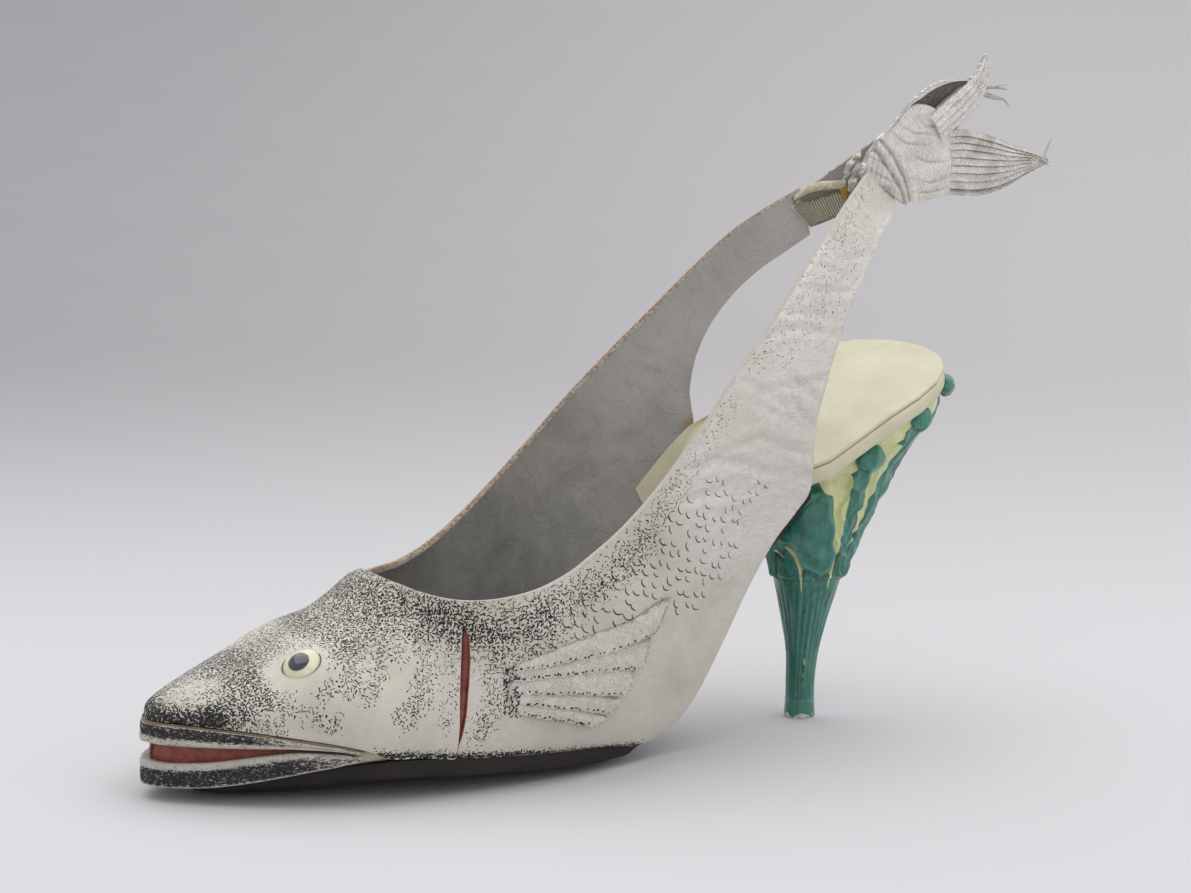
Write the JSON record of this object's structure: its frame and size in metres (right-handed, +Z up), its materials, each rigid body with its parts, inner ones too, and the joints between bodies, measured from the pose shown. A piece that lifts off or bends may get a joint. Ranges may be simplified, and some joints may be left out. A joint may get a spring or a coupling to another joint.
{
  "type": "slingback shoe",
  "caption": "Slingback shoe with a pointed toe shaped as a fish head, a curved slim high heel carved with seaweed, and straps that join in a forked tail.",
  "frame": {"origin": "centre of the flat spot under the ball of the foot, on the floor", "axes": "-X towards the toe, +X towards the heel, +Y towards the inner side of the foot, +Z up"},
  "size_m": [0.2484, 0.0709, 0.1635],
  "materials": {
    "skin_leather": "pale grey leather, worn, with a fine grain",
    "lip_leather": "pale leather with dark stipple",
    "mouth_red": "dull red leather",
    "sole_leather": "near black, matte",
    "insole_cover": "cream, satin",
    "sock_leather": "cream, satin",
    "heel_paint": "carved and painted green over pale yellow, satin, chipped",
    "heel_tip": "matte, chipped at the rim",
    "eye_white": "glossy ivory",
    "eye_black": "glossy black",
    "silver_leather": "pearly silver leather, pleated",
    "elastic": "ivory ribbed elastic"
  },
  "bodies": {
    "root": {"upper": "skin_leather", "upper_lip": "lip_leather", "lower_jaw": "lip_leather", "mouth_lining": "mouth_red", "outsole": "sole_leather", "insole": "insole_cover", "heel_sock": "sock_leather", "heel": "heel_paint", "top_piece": "heel_tip", "eye_outer": "eye_white", "eye_inner": "eye_white", "pupil_outer": "eye_black", "pupil_inner": "eye_black", "gill_outer": "mouth_red", "gill_inner": "mouth_red", "fin_outer": "silver_leather", "fin_inner": "silver_leather", "tail_base": "silver_leather", "tail_lobe_upper": "silver_leather", "tail_lobe_lower": "silver_leather", "strap_elastic": "elastic"}
  },
  "joints": []
}
